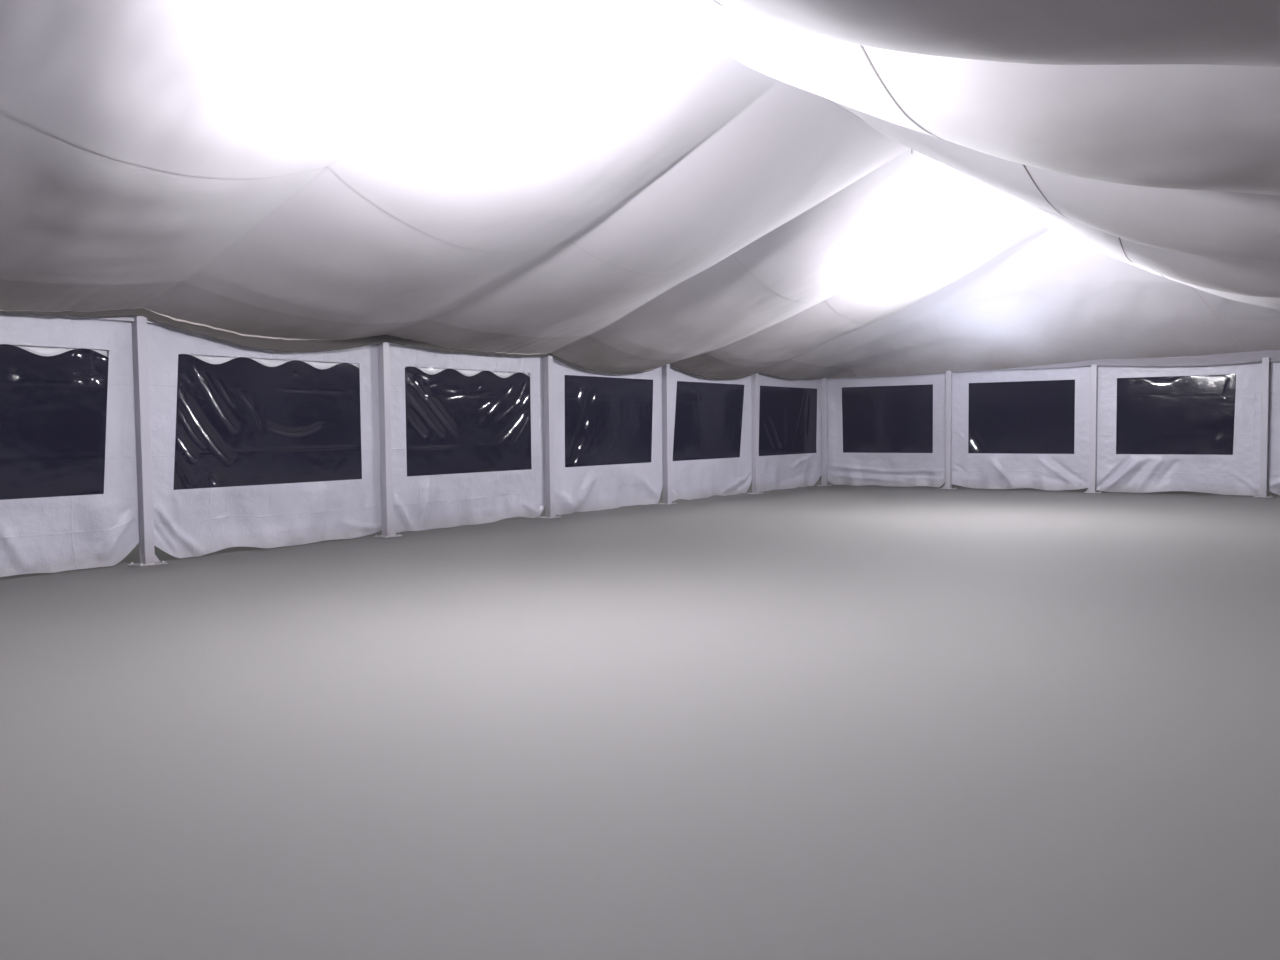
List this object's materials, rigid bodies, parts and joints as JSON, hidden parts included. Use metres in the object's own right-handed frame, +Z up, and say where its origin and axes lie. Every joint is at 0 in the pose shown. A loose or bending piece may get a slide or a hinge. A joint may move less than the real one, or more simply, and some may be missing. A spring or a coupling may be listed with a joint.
{
  "type": "marquee tent",
  "caption": "Long white frame marquee with hipped ends, clear-windowed side walls, a scalloped valance, a draped fabric lining and a wide entrance in one end.",
  "frame": {"origin": "on the ground, in the middle of the tent's plan", "axes": "+Y along the tent towards the closed far end, +X across it to the right wall, +Z up"},
  "size_m": [11.14, 21.28, 4.6405],
  "materials": {
    "white_steel": "satin white powder coat",
    "wall_pvc": "coated cloth with a slight sheen, creased",
    "roof_pvc": "coated cloth with a slight sheen",
    "clear_pvc": "clear flexible film, glossy",
    "lining_cloth": "matt woven cloth"
  },
  "bodies": {
    "root": {"corner_leg_far_left": "white_steel", "corner_leg_far_right": "white_steel", "corner_leg_near_left": "white_steel", "corner_leg_near_right": "white_steel", "eave_beam_far": "white_steel", "eave_beam_left": "white_steel", "eave_beam_near": "white_steel", "eave_beam_right": "white_steel", "end_leg_far_1": "white_steel", "end_leg_far_2": "white_steel", "end_leg_far_3": "white_steel", "end_leg_near_1": "white_steel", "end_leg_near_2": "white_steel", "end_leg_near_3": "white_steel", "hip_rafter_far_left": "white_steel", "hip_rafter_far_right": "white_steel", "hip_rafter_near_left": "white_steel", "hip_rafter_near_right": "white_steel", "jack_rafter_far": "white_steel", "jack_rafter_near": "white_steel", "lining_far": "lining_cloth", "lining_left": "lining_cloth", "lining_near": "lining_cloth", "lining_right": "lining_cloth", "portal_frame_1": "white_steel", "portal_frame_2": "white_steel", "portal_frame_3": "white_steel", "portal_frame_4": "white_steel", "portal_frame_5": "white_steel", "portal_frame_6": "white_steel", "ridge_beam": "white_steel", "roof_far": "roof_pvc", "roof_left": "roof_pvc", "roof_near": "roof_pvc", "roof_right": "roof_pvc", "valance_far": "roof_pvc", "valance_left": "roof_pvc", "valance_near": "roof_pvc", "valance_right": "roof_pvc", "wall_far": "wall_pvc", "wall_left": "wall_pvc", "wall_near_left": "wall_pvc", "wall_near_right": "wall_pvc", "wall_right": "wall_pvc", "windows_far": "clear_pvc", "windows_left": "clear_pvc", "windows_near_left": "clear_pvc", "windows_near_right": "clear_pvc", "windows_right": "clear_pvc"}
  },
  "joints": []
}
